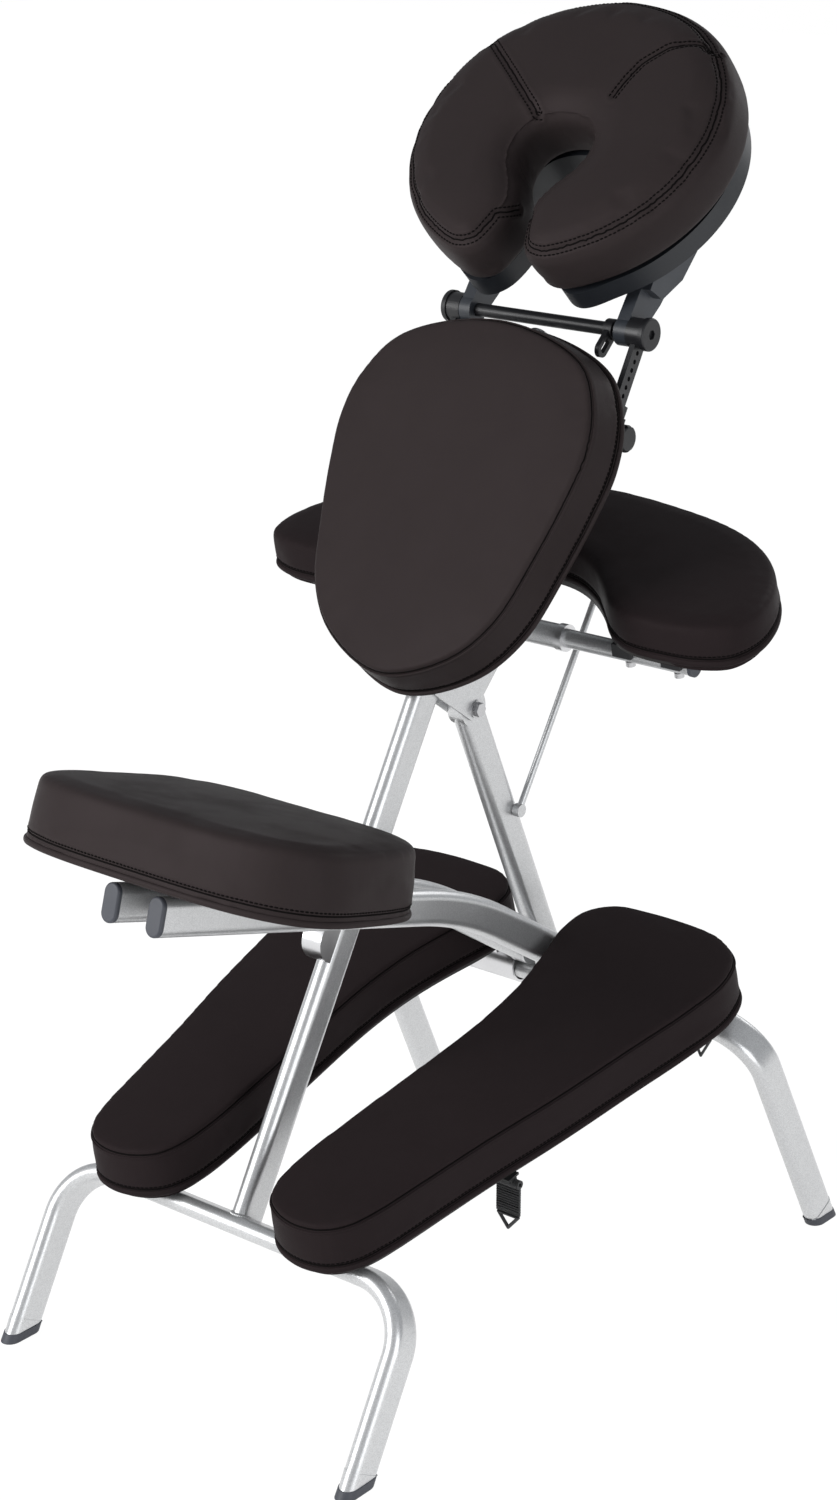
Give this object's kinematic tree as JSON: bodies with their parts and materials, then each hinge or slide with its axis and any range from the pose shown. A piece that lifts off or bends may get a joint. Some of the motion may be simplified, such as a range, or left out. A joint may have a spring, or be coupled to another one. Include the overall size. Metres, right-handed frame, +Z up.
{
  "type": "kneeling massage chair",
  "caption": "Folding kneeling massage chair of flat-oval tube, with a sliding seat, knee rests, chest pad, armrest and tilting horseshoe face cradle.",
  "frame": {"origin": "floor level, under the middle of the chair's overall box", "axes": "+X the sitter's right, +Y forward from the seat to the face cradle, +Z up"},
  "size_m": [0.596, 0.799, 1.2827],
  "materials": {
    "frame_paint": "satin sparkle powder coat",
    "grey_plastic": "moulded slate-grey rubbery plastic",
    "slate_plastic": "moulded slate-grey plastic",
    "black_plastic": "moulded black nylon, satin",
    "leatherette": "grained dark brown-black leatherette, semi-matte",
    "black_paint": "black powder coat, semi-matte",
    "board": "plywood painted black",
    "steel": "zinc-plated steel",
    "aluminium": "satin aluminium",
    "rubber": "black rubber",
    "webbing": "black woven nylon webbing"
  },
  "bodies": {
    "rear_frame": {"rear_leg_tube": "frame_paint", "main_post": "frame_paint", "rear_feet": "grey_plastic", "hinge_cheeks": "frame_paint", "fold_hinge_bolt": "steel", "arm_sleeve": "frame_paint", "rail_saddle": "aluminium", "saddle_screw": "steel", "post_end_plug": "aluminium", "cradle_yoke": "black_plastic", "yoke_bolts": "steel"},
    "front_frame": {"front_leg_tube": "frame_paint", "front_strut": "frame_paint", "front_feet": "grey_plastic", "rod_stud": "steel", "rail_pivot_bolt": "steel", "rail_spacers": "black_plastic"},
    "rails": {"seat_rail_right": "frame_paint", "seat_rail_left": "frame_paint", "rail_end_caps": "grey_plastic", "rail_cross_pin": "steel"},
    "seat": {"seat_carriage": "black_plastic", "seat_board": "board", "seat_cushion": "leatherette"},
    "seat_lock": {"seat_knob": "black_plastic"},
    "knee_rest_right": {"knee_cushion_right": "leatherette", "knee_board_right": "board", "knee_bracket_right": "aluminium", "knee_buffer_right": "rubber", "strap_clip": "steel", "strap_keeper": "steel"},
    "knee_rest_left": {"knee_cushion_left": "leatherette", "knee_board_left": "board", "knee_bracket_left": "aluminium", "knee_buffer_left": "rubber"},
    "strap": {"strap_webbing": "webbing", "strap_ring": "steel"},
    "chest_rest": {"chest_collar": "black_plastic", "chest_board": "board", "chest_cushion": "leatherette"},
    "chest_lock": {"chest_knob": "black_plastic"},
    "armrest": {"arm_tube": "frame_paint", "arm_stop_rings": "aluminium", "arm_end_plugs": "grey_plastic", "arm_board": "board", "arm_cushion": "leatherette", "arm_bridges": "black_plastic", "arm_bolts": "steel", "rod_lug": "aluminium"},
    "stay": {"stay_rod": "steel"},
    "cradle_slide": {"height_bar_right": "grey_plastic", "height_bar_left": "grey_plastic", "cradle_crossbar": "black_paint", "tilt_discs": "black_plastic"},
    "height_lock": {"height_knob": "black_plastic"},
    "tilt_lock": {"cam_lever": "black_plastic"},
    "cradle_head": {"head_arm_right": "slate_plastic", "head_arm_left": "slate_plastic", "face_platform": "black_plastic", "face_cushion": "leatherette"}
  },
  "joints": [
    {"name": "frame_fold", "type": "hinge", "parent": "rear_frame", "child": "front_frame", "pos_m": [0, 0.08842, 0.604], "axis": [1, 0, 0], "range_deg": [-56, 0]},
    {"name": "rails_swing", "type": "hinge", "parent": "front_frame", "child": "rails", "pos_m": [0, 0.23113, 0.29022], "axis": [1, 0, 0], "range_deg": [-6, 0]},
    {"name": "seat_travel", "type": "slide", "parent": "rails", "child": "seat", "axis": [0, 0.9613, -0.2755], "range_m": [-0.02, 0.05]},
    {"name": "seat_lock_turn", "type": "hinge", "parent": "seat", "child": "seat_lock", "pos_m": [0, -0.27276, 0.49839], "axis": [-1, 0, 0], "continuous": true},
    {"name": "knee_right_swing", "type": "hinge", "parent": "front_frame", "child": "knee_rest_right", "pos_m": [0, 0.24396, 0.262], "axis": [1, 0, 0], "range_deg": [-34, 0]},
    {"name": "knee_left_swing", "type": "hinge", "parent": "front_frame", "child": "knee_rest_left", "pos_m": [0, 0.24396, 0.262], "axis": [1, 0, 0], "range_deg": [-34, 0]},
    {"name": "strap_swing", "type": "hinge", "parent": "knee_rest_right", "child": "strap", "pos_m": [0.202, -0.09695, 0.21004], "axis": [1, 0, 0], "range_deg": [-60, 60]},
    {"name": "chest_travel", "type": "slide", "parent": "rear_frame", "child": "chest_rest", "axis": [0, 0.5, 0.866], "range_m": [-0.04, 0.025]},
    {"name": "chest_lock_turn", "type": "hinge", "parent": "chest_rest", "child": "chest_lock", "pos_m": [0, 0.1725, 0.82184], "axis": [0, 0.866, -0.5], "continuous": true},
    {"name": "armrest_fold", "type": "hinge", "parent": "rear_frame", "child": "armrest", "pos_m": [0, 0.14696, 0.678], "axis": [1, 0, 0], "range_deg": [-49, 0]},
    {"name": "stay_swing", "type": "hinge", "parent": "armrest", "child": "stay", "pos_m": [0.0145, 0.31096, 0.716], "axis": [1, 0, 0], "range_deg": [0, 13]},
    {"name": "cradle_travel", "type": "slide", "parent": "rear_frame", "child": "cradle_slide", "axis": [0, 0.5, 0.866], "range_m": [0, 0.05]},
    {"name": "height_lock_turn", "type": "hinge", "parent": "rear_frame", "child": "height_lock", "pos_m": [0, 0.16603, 0.88562], "axis": [1, 0, 0], "continuous": true},
    {"name": "head_tilt", "type": "hinge", "parent": "cradle_slide", "child": "cradle_head", "pos_m": [0, 0.21686, 0.97867], "axis": [1, 0, 0], "range_deg": [-35, 15]},
    {"name": "tilt_lock_swing", "type": "hinge", "parent": "cradle_slide", "child": "tilt_lock", "pos_m": [0, 0.21686, 0.97867], "axis": [1, 0, 0], "range_deg": [0, 70]}
  ],
  "couplings": [
    {"joint": "rails_swing", "follows": "frame_fold", "ratio": 0.1},
    {"joint": "knee_right_swing", "follows": "frame_fold", "ratio": 0.6},
    {"joint": "knee_left_swing", "follows": "frame_fold", "ratio": 0.6},
    {"joint": "armrest_fold", "follows": "frame_fold", "ratio": 0.859},
    {"joint": "stay_swing", "follows": "frame_fold", "ratio": -0.225}
  ]
}
